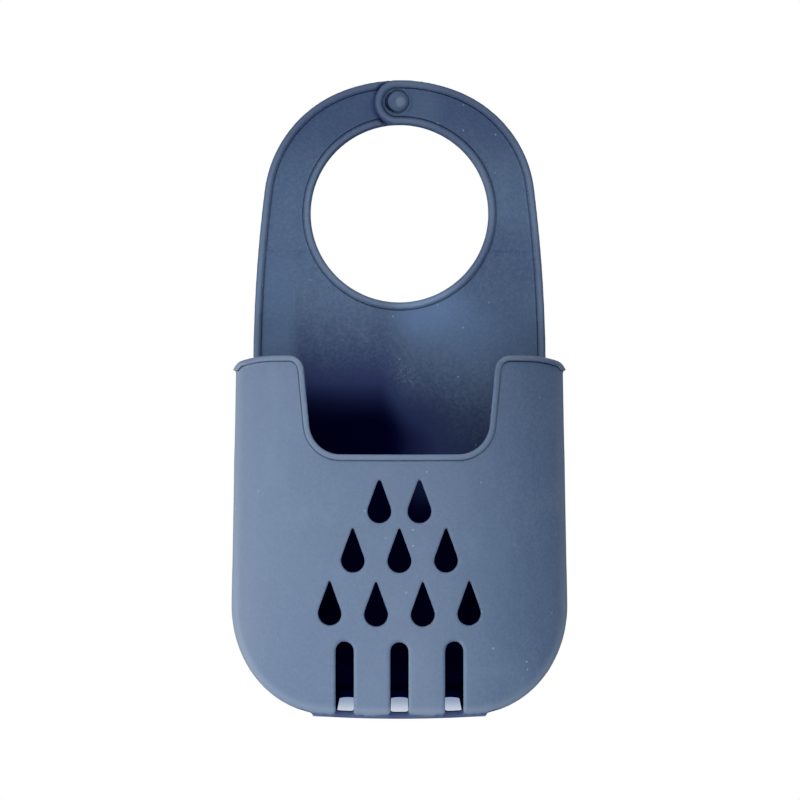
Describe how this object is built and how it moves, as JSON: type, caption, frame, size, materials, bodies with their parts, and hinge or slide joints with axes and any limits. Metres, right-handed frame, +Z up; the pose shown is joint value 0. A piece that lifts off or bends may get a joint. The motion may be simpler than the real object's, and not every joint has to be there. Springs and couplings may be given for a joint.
{
  "type": "kitchen sink caddy",
  "caption": "Soft moulded sink caddy: an open pocket with drop holes and a drain comb, hung from a faucet by a ring strap that snaps shut.",
  "frame": {"origin": "under the middle of the pocket, on the surface that it stands on", "axes": "+Z up, -Y is the front with the drop holes, +X to the right seen from the front"},
  "size_m": [0.1226, 0.052, 0.2297],
  "materials": {
    "silicone": "matte"
  },
  "bodies": {
    "pocket": {"back_wall": "silicone", "front_wall": "silicone", "left_wall": "silicone", "right_wall": "silicone", "drain_floor": "silicone", "pocket_rim": "silicone"},
    "ring": {"ring_base": "silicone"},
    "right_strap_arm": {"right_arm": "silicone", "eyelet_lip": "silicone"},
    "left_strap_arm": {"left_arm": "silicone", "snap_stud": "silicone"}
  },
  "joints": [
    {"name": "neck_bend", "type": "hinge", "parent": "pocket", "child": "ring", "pos_m": [0, 0.0247, 0.137], "axis": [-1, 0, 0], "range_deg": [-30, 90], "stiffness_Nm_per_rad": 0.12},
    {"name": "right_arm_bend", "type": "hinge", "parent": "ring", "child": "right_strap_arm", "pos_m": [0.0425, 0.0247, 0.18], "axis": [1, 0, 0], "range_deg": [0, 60], "stiffness_Nm_per_rad": 0.02, "deforming": ["eyelet_lip"]},
    {"name": "left_arm_bend", "type": "hinge", "parent": "ring", "child": "left_strap_arm", "pos_m": [-0.0425, 0.0247, 0.18], "axis": [-1, 0, 0], "range_deg": [0, 60], "stiffness_Nm_per_rad": 0.02}
  ]
}
